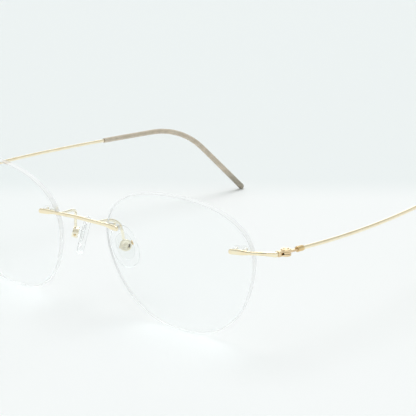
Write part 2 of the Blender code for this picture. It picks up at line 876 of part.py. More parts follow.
def assemble():
    """Scales the pieces to metres, stands them on the origin and hangs each on its axis."""
    pieces = build_pieces()
    to_frame = Matrix.Scale(MM, 4) @ Matrix.Translation(-middle_of(pieces))
    collection = bpy.data.collections.new("rimless_eyeglasses")
    bpy.context.scene.collection.children.link(collection)
    axes = {}
    for side, sign in (("left", 1), ("right", -1)):
        for body, place in (("temple", HINGE), ("pad", PAD_PIVOT)):
            pivot = bpy.data.objects.new(f"{body}_{side}_pivot", None)
            place = Vector((sign * place[0], place[1], place[2]))
            pivot.location = to_frame @ place
            pivot.empty_display_size = 4 * MM
            collection.objects.link(pivot)
            axes[f"{body}_{side}"] = pivot
    bpy.context.view_layer.update()
    for piece, body in pieces:
        piece.data.transform(to_frame)
        piece.data.shade_smooth()
        piece.data.set_sharp_from_angle(angle=math.radians(35))
        bpy.context.scene.collection.objects.unlink(piece)
        collection.objects.link(piece)
        if body in axes:
            piece.parent = axes[body]
            piece.matrix_parent_inverse = axes[body].matrix_world.inverted()


clear_scene()
assemble()
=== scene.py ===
"""Looks for the rimless eyeglasses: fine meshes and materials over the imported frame.

Lengths are millimetres in the designer's frame, as in the part's source, until a piece is
placed: TO_ROW takes it to metres in the row frame, by where the left hinge axis lies there.
Paired pieces are made on the left (+X) side, and the right one is the mirror image.
"""

import json
import math

import bmesh
import bpy
from mathutils import Matrix, Vector


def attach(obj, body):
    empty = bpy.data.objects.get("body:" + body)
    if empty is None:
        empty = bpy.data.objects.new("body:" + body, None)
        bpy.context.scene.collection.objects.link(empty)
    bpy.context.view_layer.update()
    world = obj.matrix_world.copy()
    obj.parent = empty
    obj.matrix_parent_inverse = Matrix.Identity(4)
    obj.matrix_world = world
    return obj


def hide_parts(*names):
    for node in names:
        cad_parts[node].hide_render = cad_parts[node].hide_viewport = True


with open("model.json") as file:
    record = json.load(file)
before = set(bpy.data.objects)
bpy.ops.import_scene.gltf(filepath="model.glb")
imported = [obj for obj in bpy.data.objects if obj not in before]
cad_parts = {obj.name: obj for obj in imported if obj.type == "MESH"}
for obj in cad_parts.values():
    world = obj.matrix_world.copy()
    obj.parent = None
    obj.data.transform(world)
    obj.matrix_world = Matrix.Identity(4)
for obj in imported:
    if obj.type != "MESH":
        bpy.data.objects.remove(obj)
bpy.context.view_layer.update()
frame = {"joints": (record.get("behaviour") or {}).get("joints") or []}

MM = 0.001

# The object's dimensions, as far as the driver slots, are the part's own. Those marked
# fine have no name there.

# Lenses: an egg-like outline on a shallow sphere, tilted and wrapped a little.
LENS_WIDTH = 50.1
LENS_HEIGHT = 41.8
LENS_GAP = 20.0
LENS_THICKNESS = 1.7
LENS_RADIUS = 110.0
LENS_TILT = 10.8
LENS_WRAP = 3.1
LENS_TOP_POWER = 2.17
LENS_BOTTOM_POWER = 2.54
LENS_WIDER_ABOVE = 0.176
LENS_LEAN = 0.073
LENS_NOSE_CUT = 0.047
# Fine: the safety bevel round each face.
RIM_BEVEL = 0.16

# Compression mounts: two pins of each bar pass through the lens in a twin sleeve.
PIN_RADIUS = 0.40
SLEEVE_BORE = 0.45
SLEEVE_RADIUS = 0.70
LENS_HOLE = 0.76
SLEEVE_PLATE = 0.60
MOUNT_GAP = 0.10
PIN_STICK_OUT = 0.25
BRIDGE_MOUNT_V = 7.7
BRIDGE_PINS_U = (-20.5, -23.1)
END_MOUNT_V = 8.1
END_PINS_U = (20.7, 23.5)
# Fine: a pin's domed end, and the bushing's rim round its two sleeves.
PIN_DOME = 0.22
BUSHING_PAST_ENDS = 0.5
BUSHING_PAST_SIDES = 0.35
BUSHING_ROUNDING = 0.18

# Bars: flattened where they lie on a lens, slimmer where they leave it.
BAR_TALL = 0.76
BAR_SLIM = 0.50
BAR_DEPTH = 0.48
BAR_GAP = 0.05
BRIDGE_TIP_U = -19.15
BRIDGE_EDGE_U = -24.6
BRIDGE_CREST = Vector((0.0, -1.5, 28.9))
BRIDGE_SHOULDER = Vector((5.2, -1.2, 28.65))
END_TIP_U = 19.4
END_EDGE_U = 26.0
NECK_TALL = 0.72
NECK_BEND = Vector((0.25, -0.35, 0.2))
# Fine: the share of a bar's way over the lens where it starts to slim, how far back its
# tip thins, and the neck's straight run before the hinge.
BAR_SLIMS_AT = 0.45
BAR_TIP_THINS = 0.25
NECK_STRAIGHT = 0.6

# Hinges: a fork on the end piece, a tongue on the temple and a vertical screw.
HINGE = Vector((67.0, 9.8, 28.6))
BARREL_RADIUS = 1.45
BARREL_HEIGHT = 1.90
WEB_LENGTH = 3.3
WEB_WIDTH = 1.60
WEB_HEIGHT = 1.50
TONGUE_HEIGHT = 0.60
SHANK_WIDTH = 1.24
HINGE_CLEARANCE = 0.05
HINGE_SCREW_RADIUS = 0.40
HINGE_HEAD_RADIUS = 0.80
HINGE_HEAD_HEIGHT = 0.32
HINGE_HEAD_LIFT = 0.03
COUNTERBORE_DEPTH = 0.25
COLLAR_START = 4.0
COLLAR_LENGTH = 2.3
COLLAR_RADIUS = 0.80
COLLAR_BORE = 0.59
# Fine: how far the fork's slot runs into the web, the roundings, and the knuckle's inset.
SLOT_BEYOND = 1.1
WEB_ROUNDING = 0.28
BARREL_ROUNDING = 0.16
TONGUE_ROUNDING = 0.10
KNUCKLE_INSET = 0.03
COLLAR_ROUNDING = 0.14

# Temples: a wire that bows out and in, then bends down behind the ear.
WIRE_RADIUS = 0.54
WIRE_START = 4.4
WIRE_END = 139.5
BOW_START = 6.4
BOW_LINEAR = 0.15
BOW_SQUARE = -0.003224
BOW_CUBE = 0.00001083
BEND_START = 92.1
BEND_RADIUS = 35.0
BEND_ANGLE = 42.59
TEMPLE_LENGTH = 146.2
TIP_START = 70.0
TIP_FRONT_RADIUS = 0.85
TIP_END_RADIUS = 1.10
TIP_BORE = 0.61
# Fine: heights in metres between which a tip goes from darker, near the floor, to lighter.
TIP_DARKER_BELOW = 0.003
TIP_LIGHTER_ABOVE = 0.010

# Nose pads: a soft oval on a hard insert that rocks on a cross screw in a round box.
PAD_PIVOT = Vector((10.5, 8.5, 20.4))
PAD_SPLAY = 35.0
PAD_LONG_AXIS = Vector((0.39, 0.085, -0.92))
PAD_LENGTH = 12.8
PAD_WIDTH = 7.2
PAD_THICKNESS = 2.1
PAD_BACK = 1.60
PAD_DROP = 0.4
INSERT_LENGTH = 8.2
INSERT_WIDTH = 4.8
INSERT_THICKNESS = 0.60
INSERT_COVER = 0.45
BOSS_RADIUS = 1.0
BOSS_DEPTH = 0.30
BOX_RADIUS = 1.72
BOX_BORE = 1.34
BOX_HALF_DEPTH = 0.90
BOX_BASE = 0.35
PAD_SCREW_RADIUS = 0.35
PAD_SCREW_BORE = 0.41
PAD_SCREW_HEAD = 0.70
PAD_SCREW_HEAD_HEIGHT = 0.35
ARM_RADIUS = 0.42
ARM_ROUTE = (
    Vector((7.45, 0.15, 28.45)),
    Vector((7.65, 2.1, 28.4)),
    Vector((8.1, 5.2, 28.2)),
    Vector((8.9, 7.1, 27.1)),
    Vector((9.7, 7.8, 25.0)),
)
# Fine: the roundings of insert and box, and how far the screw reaches past the box.
INSERT_ROUNDING = 0.2
BOX_ROUNDING = 0.15
PAD_SCREW_PAST_BOX = 0.12
# Fine: the pad's flat part, as a share of its outline, and how it meets the boss.
PAD_FLAT = 0.86
PAD_UP_BOSS = 0.9
BOSS_GAP = 0.05
# Fine: the dish in the back of the box, with a nub in its middle.
BOX_DISH_RADIUS = 1.25
BOX_DISH_SLOPE = 0.45
BOX_DISH_DEPTH = 0.2
BOX_NUB_RADIUS = 0.35

# Driver slots, and how far a cutter runs past what it cuts.
SLOT_WIDTH = 0.18
SLOT_DEPTH = 0.14
OVERRUN = 3.0

# Camera: from in front and from the wearer's left, looking slightly down.
VIEW_AZIMUTH = 39.96
VIEW_ELEVATION = 14.78
VIEW_ROLL = 0.06
VIEW_DISTANCE = 397.78
FOCAL_LENGTH = 128.74
SENSOR = 36.0
VIEW_FROM_HINGE = Vector((-19.38, -9.10, 10.63))

# Stage, in metres: a pale floor, darker beyond a line behind its middle: painted shade for a
# backdrop turning away from the light.
FLOOR_REACH = 3.0
FLOOR_NEAR = (0.935, 0.945, 0.945)
FLOOR_PAINTED_SHADE = (0.850, 0.880, 0.880)
PAINTED_SHADE_STARTS = 0.150
PAINTED_SHADE_ENDS = 0.190

# Light: a pale sky, with a dark room in front of the object and a window behind it. A dim
# band runs round the sky below a bright cap. Edges and middles are degrees from each
# patch's own direction.
WHITE = (1.0, 1.0, 1.0)
SKY = (0.72, 0.75, 0.75)
ROOM = (0.08, 0.065, 0.05)
ROOM_AZIMUTH = 12.0
ROOM_ELEVATION = 20.0
ROOM_EDGE = 27.0
ROOM_MIDDLE = 15.0
WINDOW = (2.3, 2.3, 2.3)
WINDOW_AZIMUTH = 220.0
WINDOW_ELEVATION = 15.0
WINDOW_EDGE = 20.0
WINDOW_MIDDLE = 10.0
ZENITH = 90.0
BAND = (0.62, 0.58, 0.54)
BAND_EDGE = 62.0
BAND_MIDDLE = 56.0
CAP_EDGE = 52.0
CAP_MIDDLE = 46.0
OVERHEAD_AZIMUTH = -149.0
OVERHEAD_ELEVATION = 72.0
OVERHEAD_SPREAD = 40.0
OVERHEAD_POWER = 1.04

# Where the designer's millimetres lie in the row frame, by the left hinge's axis.
joint_places = {joint["name"]: joint["pos_m"] for joint in frame["joints"]}
hinge_row = Vector(joint_places["temple_left_fold"])
TO_ROW = Matrix.Translation(hinge_row) @ Matrix.Scale(MM, 4) @ Matrix.Translation(-HINGE)


# ---- materials -----------------------------------------------------------------------


def new_material(name):
    """An empty node material, its node tree and its output."""
    material = bpy.data.materials.new(name)
    material.use_nodes = True
    tree = material.node_tree
    tree.nodes.clear()
    return material, tree, tree.nodes.new("ShaderNodeOutputMaterial")


def principled(tree, **values):
    """A Principled shader with values set on its own sockets, _ standing for a space."""
    shader = tree.nodes.new("ShaderNodeBsdfPrincipled")
    for key, value in values.items():
        shader.inputs[key.replace("_", " ")].default_value = value
    return shader


def noise(tree, scale, detail=3.0, stretch=(1.0, 1.0, 1.0)):
    """A noise pattern in the object's own space, scale being features per metre."""
    place = tree.nodes.new("ShaderNodeTexCoord")
    mapping = tree.nodes.new("ShaderNodeMapping")
    mapping.inputs["Scale"].default_value = stretch
    tree.links.new(place.outputs["Object"], mapping.inputs["Vector"])
    texture = tree.nodes.new("ShaderNodeTexNoise")
    texture.inputs["Scale"].default_value = scale
    texture.inputs["Detail"].default_value = detail
    tree.links.new(mapping.outputs["Vector"], texture.inputs["Vector"])
    return texture.outputs["Fac"]


def ramp(tree, source, low, high, start=0.35, end=0.65):
    """Blends colour low to colour high as source goes from start to end."""
    node = tree.nodes.new("ShaderNodeValToRGB")
    for stop, place, colour in zip(node.color_ramp.elements, (start, end), (low, high)):
        stop.position = place
        stop.color = (*colour, 1.0)
    tree.links.new(source, node.inputs["Fac"])
    return node.outputs["Color"]


def spread(tree, source, low, high):
    """Maps source from 0..1 to low..high."""
    mapped = tree.nodes.new("ShaderNodeMapRange")
    mapped.inputs["To Min"].default_value = low
    mapped.inputs["To Max"].default_value = high
    tree.links.new(source, mapped.inputs["Value"])
    return mapped.outputs["Result"]


def bump(tree, source, distance):
    """A bump from source, distance in metres."""
    node = tree.nodes.new("ShaderNodeBump")
    node.inputs["Strength"].default_value = 1.0
    node.inputs["Distance"].default_value = distance
    tree.links.new(source, node.inputs["Height"])
    return node.outputs["Normal"]


def eased_share(tree, source, start, end):
    """0 to 1 as source goes from start to end, slow at both ends."""
    share = tree.nodes.new("ShaderNodeMapRange")
    share.interpolation_type = "SMOOTHSTEP"
    share.inputs["From Min"].default_value = start
    share.inputs["From Max"].default_value = end
    tree.links.new(source, share.inputs["Value"])
    return share.outputs["Result"]


def mixed(tree, factor, first, second, kind="MIX"):
    """A colour from first to second by factor, each a plain value or a node's output."""
    mix = tree.nodes.new("ShaderNodeMix")
    mix.data_type = "RGBA"
    mix.blend_type = kind
    colours = [socket for socket in mix.inputs if socket.type == "RGBA"]
    for source, socket in zip((factor, first, second), (mix.inputs["Factor"], *colours)):
        if isinstance(source, float):
            socket.default_value = source
        elif isinstance(source, tuple):
            socket.default_value = (*source, 1.0)
        else:
            tree.links.new(source, socket)
    return next(socket for socket in mix.outputs if socket.type == "RGBA")


def object_axis(tree, axis):
    """The place along X, Y or Z in the object's own space, in metres."""
    place = tree.nodes.new("ShaderNodeTexCoord")
    axes = tree.nodes.new("ShaderNodeSeparateXYZ")
    tree.links.new(place.outputs["Object"], axes.inputs["Vector"])
    return axes.outputs[axis]


def gold_material(name, bright, deep, rough_low, rough_high, grain):
    """Polished plated metal: slight colour drift, fine polishing marks."""
    material, tree, out = new_material(name)
    shader = principled(tree, Metallic=1.0)
    drift = noise(tree, 260.0, 4.0)
    tree.links.new(ramp(tree, drift, deep, bright), shader.inputs["Base Color"])
    marks = noise(tree, 2600.0, 2.0, grain)
    tree.links.new(spread(tree, marks, rough_low, rough_high), shader.inputs["Roughness"])
    tree.links.new(bump(tree, marks, 0.000006), shader.inputs["Normal"])
    tree.links.new(shader.outputs["BSDF"], out.inputs["Surface"])
    return material


def drifting(tree, shader, pattern, low, high, rough_low, rough_high):
    """Lets a pattern drift a shader's colour and roughness from low to high."""
    tree.links.new(ramp(tree, pattern, low, high), shader.inputs["Base Color"])
    roughness = spread(tree, pattern, rough_low, rough_high)
    tree.links.new(roughness, shader.inputs["Roughness"])


def see_through(tree, out, shader):
    """Puts a shader on the output, letting lamps shine through what it covers."""
    path = tree.nodes.new("ShaderNodeLightPath")
    clear = tree.nodes.new("ShaderNodeBsdfTransparent")
    clear.inputs["Color"].default_value = (0.86, 0.88, 0.88, 1.0)
    mix = tree.nodes.new("ShaderNodeMixShader")
    tree.links.new(path.outputs["Is Shadow Ray"], mix.inputs["Fac"])
    tree.links.new(shader.outputs["BSDF"], mix.inputs[1])
    tree.links.new(clear.outputs["BSDF"], mix.inputs[2])
    tree.links.new(mix.outputs["Shader"], out.inputs["Surface"])


def lens_material():
    """Clear coated lens: polished, with the faintest unevenness."""
    material, tree, out = new_material("lens_clear")
    shader = principled(
        tree,
        Base_Color=(0.985, 0.995, 0.995, 1.0),
        Roughness=0.0,
        IOR=1.26,
        Transmission_Weight=1.0,
        Specular_IOR_Level=0.5,
    )
    waves = noise(tree, 60.0, 1.0)
    tree.links.new(bump(tree, waves, 0.000002), shader.inputs["Normal"])
    see_through(tree, out, shader)
    return material


def rim_material():
    """The ground edge of a lens: finely frosted, with the grinding wheel's fine lines."""
    material, tree, out = new_material("lens_ground_edge")
    shader = principled(tree, IOR=1.5, Alpha=0.50, Specular_IOR_Level=0.4)
    lines = noise(tree, 3000.0, 2.0)
    drifting(tree, shader, lines, (0.95, 0.97, 0.97), WHITE, 0.35, 0.55)
    tree.links.new(bump(tree, lines, 0.00001), shader.inputs["Normal"])
    see_through(tree, out, shader)
    return material


def silicone_material():
    """Soft translucent silicone."""
    material, tree, out = new_material("pad_silicone_soft")
    shader = principled(tree, IOR=1.22, Transmission_Weight=0.95, Alpha=0.42)
    cloud = noise(tree, 700.0, 3.0)
    low, high = (0.95, 0.96, 0.96), (0.99, 1.0, 1.0)
    drifting(tree, shader, cloud, low, high, 0.08, 0.16)
    tree.links.new(bump(tree, cloud, 0.000005), shader.inputs["Normal"])
    see_through(tree, out, shader)
    return material


def insert_material():
    """Hard clear plastic inside the pads."""
    material, tree, out = new_material("clear_plastic_moulded")
    shader = principled(tree, IOR=1.36, Transmission_Weight=0.95, Alpha=0.5)
    cloud = noise(tree, 900.0, 2.0)
    low, high = (0.93, 0.95, 0.93), (0.98, 0.99, 0.98)
    drifting(tree, shader, cloud, low, high, 0.06, 0.16)
    see_through(tree, out, shader)
    return material


def bushing_material():
    """The moulded bushings behind a lens, which all but vanish: thin, clear and matched to it."""
    material, tree, out = new_material("clear_plastic_thin")
    shader = principled(tree, IOR=1.45, Alpha=0.08, Specular_IOR_Level=0.4)
    cloud = noise(tree, 900.0, 2.0)
    low, high = (0.86, 0.88, 0.87), (0.95, 0.96, 0.95)
    drifting(tree, shader, cloud, low, high, 0.06, 0.16)
    tree.links.new(shader.outputs["BSDF"], out.inputs["Surface"])
    return material


def sleeve_material():
    """Taupe brown temple tip: satin, slightly translucent, with a faint mottling, darker near the
    floor.
    """
    material, tree, out = new_material("tip_taupe")
    shader = principled(
        tree, Subsurface_Weight=0.15, Coat_Weight=0.5, Coat_Roughness=0.15, IOR=1.49
    )
    shader.inputs["Subsurface Radius"].default_value = (0.0012, 0.0008, 0.0005)
    cloud = noise(tree, 420.0, 4.0)
    # The tip is darker near the floor and lighter higher up, the two mottled colours blended by
    # height.
    upper_colour = ramp(tree, cloud, (0.54, 0.46, 0.35), (0.65, 0.56, 0.44))
    solid = ramp(tree, cloud, (0.33, 0.29, 0.22), (0.40, 0.35, 0.27))
    height = object_axis(tree, "Z")
    upper_share = eased_share(tree, height, TIP_DARKER_BELOW, TIP_LIGHTER_ABOVE)
    colour = mixed(tree, upper_share, solid, upper_colour)
    tree.links.new(colour, shader.inputs["Base Color"])
    grain = noise(tree, 5200.0, 2.0)
    tree.links.new(spread(tree, grain, 0.30, 0.44), shader.inputs["Roughness"])
    tree.links.new(bump(tree, grain, 0.00001), shader.inputs["Normal"])
    tree.links.new(shader.outputs["BSDF"], out.inputs["Surface"])
    return material


def floor_material():
    """Plain pale matt card, with painted shade beyond a line behind its middle."""
    material, tree, out = new_material("floor_pale")
    shader = principled(tree, Roughness=0.75, Specular_IOR_Level=0.3)
    # Painted shade: the card darkens beyond a line behind its middle, as a backdrop turning away
    # from the light would.
    back = object_axis(tree, "Y")
    far = eased_share(tree, back, PAINTED_SHADE_STARTS, PAINTED_SHADE_ENDS)
    colour = ramp(tree, far, FLOOR_NEAR, FLOOR_PAINTED_SHADE, 0.0, 1.0)
    tree.links.new(colour, shader.inputs["Base Color"])
    tree.links.new(shader.outputs["BSDF"], out.inputs["Surface"])
    return material


GOLD = gold_material(
    "gold_polished", (1.00, 0.90, 0.67), (0.96, 0.82, 0.57), 0.08, 0.16, (1.0, 1.0, 1.0)
)
GOLD_WIRE = gold_material(
    "gold_drawn_wire", (1.00, 0.90, 0.68), (0.97, 0.84, 0.60), 0.14, 0.26, (1.0, 0.05, 1.0)
)
# A darker copy of the gold plating for the fork, tongue and hinge screw: painted shade for the
# hinge's dark accents.
GOLD_SHADED_HINGE = gold_material(
    "gold_hinge_painted_shade", (0.92, 0.73, 0.47), (0.68, 0.49, 0.29), 0.05, 0.12, (1.0, 1.0, 1.0)
)
GOLD_MATT = gold_material(
    "gold_brushed", (0.87, 0.67, 0.36), (0.73, 0.53, 0.27), 0.22, 0.34, (1.0, 1.0, 0.1)
)
GOLD_PALE = gold_material(
    "gold_pale", (1.00, 0.95, 0.78), (0.94, 0.87, 0.69), 0.12, 0.22, (1.0, 1.0, 1.0)
)
LENS = lens_material()
RIM = rim_material()
SILICONE = silicone_material()
INSERT = insert_material()
BUSHING = bushing_material()
SLEEVE = sleeve_material()


# ---- small tools ---------------------------------------------------------------------


def add_object(name, data):
    """A new object in the scene for a mesh, a light or a camera."""
    made = bpy.data.objects.new(name, data)
    bpy.context.scene.collection.objects.link(made)
    return made


def add_mesh(name, bm):
    """A new object in the scene from a bmesh, which is freed."""
    mesh = bpy.data.meshes.new(name)
    bm.to_mesh(mesh)
    bm.free()
    return add_object(name, mesh)


def baked(piece):
    """Applies a piece's modifiers or curve bevel, welds it, and keeps its name."""
    bpy.context.view_layer.update()
    graph = bpy.context.evaluated_depsgraph_get()
    mesh = bpy.data.meshes.new_from_object(piece.evaluated_get(graph))
    bm = bmesh.new()
    bm.from_mesh(mesh)
    bmesh.ops.remove_doubles(bm, verts=bm.verts, dist=0.0001)
    bm.to_mesh(mesh)
    bm.free()
    mesh.transform(piece.matrix_world)
    name = piece.name
    bpy.data.objects.remove(piece, do_unlink=True)
    mesh.name = name
    return add_object(name, mesh)


def placed(piece, matrix):
    """Moves an object's mesh by a matrix."""
    piece.data.transform(matrix)
    return piece


def boolean(body, tool, operation):
    """Cuts or joins a body with a tool, which is removed."""
    step = body.modifiers.new(operation.lower(), "BOOLEAN")
    step.operation = operation
    step.solver = "EXACT"
    step.object = tool
    body = baked(body)
    bpy.data.objects.remove(tool, do_unlink=True)
    return body


def cut(body, *tools):
    """The body with each tool cut away."""
    for tool in tools:
        body = boolean(body, tool, "DIFFERENCE")
    return body


def join(body, *tools):
    """The body with each tool joined on."""
    for tool in tools:
        body = boolean(body, tool, "UNION")
    return body


def rounded(piece, width, segments=3):
    """Rounds a piece's sharp edges."""
    bevel = piece.modifiers.new("rounding", "BEVEL")
    bevel.width = width
    bevel.segments = segments
    bevel.angle_limit = math.radians(35)
    return baked(piece)


def smooth(piece, angle):
    """Shades a piece smooth, apart from edges sharper than angle."""
    piece.data.shade_smooth()
    piece.data.set_sharp_from_angle(angle=math.radians(angle))
    return piece


def axes_at(origin, x_axis, z_axis):
    """A placing matrix whose Z is z_axis and whose X is as near x_axis as can be."""
    z = Vector(z_axis).normalized()
    x = Vector(x_axis)
    x = (x - z * x.dot(z)).normalized()
    matrix = Matrix((x, z.cross(x), z)).transposed().to_4x4()
    matrix.translation = Vector(origin)
    return matrix


def smooth_path(points, steps):
    """Points along a Catmull-Rom curve through the given points."""
    first = points[0] * 2 - points[1]
    last = points[-1] * 2 - points[-2]
    padded = [first, *points, last]
    path = []
    for i in range(len(points) - 1):
        a, b, c, d = padded[i : i + 4]
        for k in range(steps):
            t = k / steps
            curve = 2 * b + (c - a) * t
            curve += (2 * a - 5 * b + 4 * c - d) * t**2
            curve += (3 * b - a - 3 * c + d) * t**3
            path.append(curve / 2)
    return [*path, points[-1]]


def loft(name, rings):
    """A closed solid through rings of points, its ends fanned to their middles."""
    bm = bmesh.new()
    rows = [[bm.verts.new(point) for point in ring] for ring in rings]
    for a, b in zip(rows, rows[1:]):
        for k in range(len(a)):
            n = (k + 1) % len(a)
            bm.faces.new((a[k], a[n], b[n], b[k]))
    for row in (rows[0], rows[-1]):
        middle = bm.verts.new(sum((v.co for v in row), Vector()) / len(row))
        for k in range(len(row)):
            bm.faces.new((row[k], row[(k + 1) % len(row)], middle))
    bmesh.ops.recalc_face_normals(bm, faces=bm.faces)
    return add_mesh(name, bm)


def frames_along(points, side):
    """For each point, its (side, up) directions, side kept near a given one or list."""
    result = []
    for i in range(len(points)):
        before, after = points[max(i - 1, 0)], points[min(i + 1, len(points) - 1)]
        along = (after - before).normalized()
        wanted = Vector(side[i]) if isinstance(side, list) else Vector(side)
        across = (wanted - along * wanted.dot(along)).normalized()
        result.append((across, along.cross(across)))
    return result


def round_ring(centre, x, y, radius, sides):
    """A ring of points about centre, in the plane of directions x and y."""
    turns = [2 * math.pi * k / sides for k in range(sides)]
    return [centre + (x * math.cos(t) + y * math.sin(t)) * radius for t in turns]


def tube(name, points, radii, sides=24, side=(0.0, 0.0, 1.0)):
    """A round bar along points with a radius at each."""
    rings = []
    for point, radius, (x, y) in zip(points, radii, frames_along(points, side)):
        rings.append(round_ring(point, x, y, radius, sides))
    return loft(name, rings)


def turned(name, profile):
    """A solid turned about Z from (radius, height) points that run down its outside."""
    bm = bmesh.new()
    corners = [bm.verts.new((radius, 0.0, height)) for radius, height in profile]
    for a, b in zip(corners, corners[1:]):
        bm.edges.new((a, b))
    solid = add_mesh(name, bm)
    screw = solid.modifiers.new("turn", "SCREW")
    screw.steps = screw.render_steps = 48
    screw.use_merge_vertices = True
    screw.merge_threshold = 0.0001
    return baked(solid)


def rounded_profile(profile, radius, steps=3):
    """Rounds the corners of a (radius, height) profile, its two ends apart."""
    result = [profile[0]]
    for before, corner, after in zip(profile, profile[1:], profile[2:]):
        corner = Vector(corner)
        to_before, to_after = Vector(before) - corner, Vector(after) - corner
        reach = min(radius, to_before.length * 0.45, to_after.length * 0.45)
        start = corner + to_before.normalized() * reach
        end = corner + to_after.normalized() * reach
        for k in range(steps + 1):
            t = k / steps
            point = start * (1 - t) ** 2 + corner * 2 * t * (1 - t) + end * t**2
            result.append(tuple(point))
    return [*result, profile[-1]]


def plate(name, outline, thickness):
    """A flat outline in X and Y with a thickness about Z = 0."""
    bm = bmesh.new()
    low = [bm.verts.new((x, y, -thickness / 2)) for x, y in outline]
    high = [bm.verts.new((x, y, thickness / 2)) for x, y in outline]
    bm.faces.new(low)
    bm.faces.new(high)
    for k in range(len(outline)):
        n = (k + 1) % len(outline)
        bm.faces.new((low[k], low[n], high[n], high[k]))
    bmesh.ops.recalc_face_normals(bm, faces=bm.faces)
    return add_mesh(name, bm)


def rod(name, start, end, radius, sides=32):
    """A plain round rod."""
    along = end - start
    side = Vector((1, 0, 0)) if abs(along.normalized().x) < 0.9 else Vector((0, 1, 0))
    return tube(name, [start, end], [radius, radius], sides, side)


def circle(radius, count, start=0.0, end=360.0, centre=(0.0, 0.0)):
    """Points (x, y) around an arc of a circle, its end left out when it is a full turn."""
    gaps = count if abs(end - start - 360.0) < 1e-6 else count - 1
    points = []
    for i in range(count):
        angle = math.radians(start + (end - start) * i / gaps)
        x, y = radius * math.cos(angle), radius * math.sin(angle)
        points.append((centre[0] + x, centre[1] + y))
    return points


def oval(reach_x, reach_y, count=64, power=2.3, part=0.0):
    """A full oval outline, squarer with more power, turned by a part of one step."""
    points = []
    for k in range(count):
        angle = 2 * math.pi * (k + part) / count
        c, s = math.cos(angle), math.sin(angle)
        x = math.copysign(abs(c) ** (2 / power), c) * reach_x
        y = math.copysign(abs(s) ** (2 / power), s) * reach_y
        points.append((x, y))
    return points


def stadium(length, width):
    """A straight-sided outline with round ends, its length along X."""
    reach = (length - width) / 2
    right = circle(width / 2, 17, -90, 90, (reach, 0.0))
    left = circle(width / 2, 17, 90, 270, (-reach, 0.0))
    return right + left


def driver_slot(centre, across, along):
    """A cutter for the driver slot in a screw head at centre, whose axis is along."""
    bm = bmesh.new()
    bmesh.ops.create_cube(bm, size=1.0)
    bmesh.ops.scale(bm, vec=(OVERRUN, SLOT_WIDTH, 2 * SLOT_DEPTH), verts=bm.verts)
    return placed(add_mesh("driver_slot", bm), axes_at(centre, across, along))


def hand_over(piece, body):
    """Tells the frame which body a piece rides, which node it stands for."""
    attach(piece, body)
    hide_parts(piece.name.removesuffix("_fine"))


def finish_pair(piece, body, material, angle=35):
    """Places a left-hand piece, makes its right-hand twin, and hands both to the frame.

    The piece is named LEFT_NODE + "_fine", and its twin after the node's mirror.
    """
    if material is not None:
        piece.data.materials.clear()
        piece.data.materials.append(material)
    placed(piece, TO_ROW)
    smooth(piece, angle)
    twin_name = piece.name.replace("left", "right")
    bm = bmesh.new()
    bm.from_mesh(piece.data)
    bmesh.ops.scale(bm, vec=(-1, 1, 1), verts=bm.verts)
    bmesh.ops.reverse_faces(bm, faces=bm.faces)
    twin = add_mesh(twin_name, bm)
    for used in piece.data.materials:
        twin.data.materials.append(used)
    smooth(twin, angle)
    for made, side in ((piece, "left"), (twin, "right")):
        hand_over(made, body if body == "front" else f"{body}_{side}")
    return piece, twin


# ---- lenses and the places on them ---------------------------------------------------


def lens_outline(count):
    """The left lens's edge: u towards the temple and v up, about its box centre."""
    points = []
    for i in range(count):
        angle = 2 * math.pi * i / count
        c, s = math.cos(angle), math.sin(angle)
        power = LENS_TOP_POWER if s > 0 else LENS_BOTTOM_POWER
        reach = abs(2 * c / LENS_WIDTH) ** power + abs(2 * s / LENS_HEIGHT) ** power
        radius = reach ** (-1 / power)
        u, v = radius * c, radius * s
        u *= 1 + LENS_WIDER_ABOVE * v / (LENS_HEIGHT / 2)
        u += LENS_LEAN * v
        u += LENS_NOSE_CUT * LENS_WIDTH * max(-c, 0) * max(-s, 0)
        points.append((u, v))
    return points


def sag(u, v, lift=0.0):
    """How far back the surface lies at (u, v), lift being its height off the front."""
    return LENS_RADIUS - math.sqrt((LENS_RADIUS + lift) ** 2 - u**2 - v**2)


def lens_pose():
    """Places the left lens: tilted, wrapped and standing on its lower edge."""
    tilt = Matrix.Rotation(math.radians(LENS_TILT), 4, "X")
    wrap = Matrix.Rotation(math.radians(LENS_WRAP), 4, "Z")
    turn = wrap @ tilt
    lowest = min((turn @ Vector((u, sag(u, v), v))).z for u, v in lens_outline(72))
    centre_x = (LENS_WIDTH + LENS_GAP) / 2
    return Matrix.Translation((centre_x, 0.0, -lowest)) @ turn


LENS_POSE = lens_pose()


def on_lens(u, v, lift):
    """A point at (u, v) on the left lens, lift in front of its front face."""
    centre = LENS_POSE @ Vector((0.0, LENS_RADIUS, 0.0))
    front = LENS_POSE @ Vector((u, sag(u, v), v))
    return centre + (front - centre).normalized() * (LENS_RADIUS + lift)


def lens_normal(u, v):
    """The direction out of the front face at (u, v)."""
    return (on_lens(u, v, 1.0) - on_lens(u, v, 0.0)).normalized()


def rim_ring(outline, inset, lift):
    """The outline on the lens drawn in by inset, at a height off the front face."""
    ring = []
    count = len(outline)
    for i, (u, v) in enumerate(outline):
        before, after = Vector(outline[i - 1]), Vector(outline[(i + 1) % count])
        along = (after - before).normalized()
        x, z = u - along.y * inset, v + along.x * inset
        ring.append(LENS_POSE @ Vector((x, sag(x, z, lift), z)))
    return ring


def face_rings(outline, shares, lift):
    """Rings over one face of the lens, each a share of its outline."""
    rings = []
    for share in shares:
        small = [(u * share, v * share) for u, v in outline]
        inset = RIM_BEVEL if share == 1 else 0.0
        rings.append(rim_ring(small, inset, lift))
    return rings


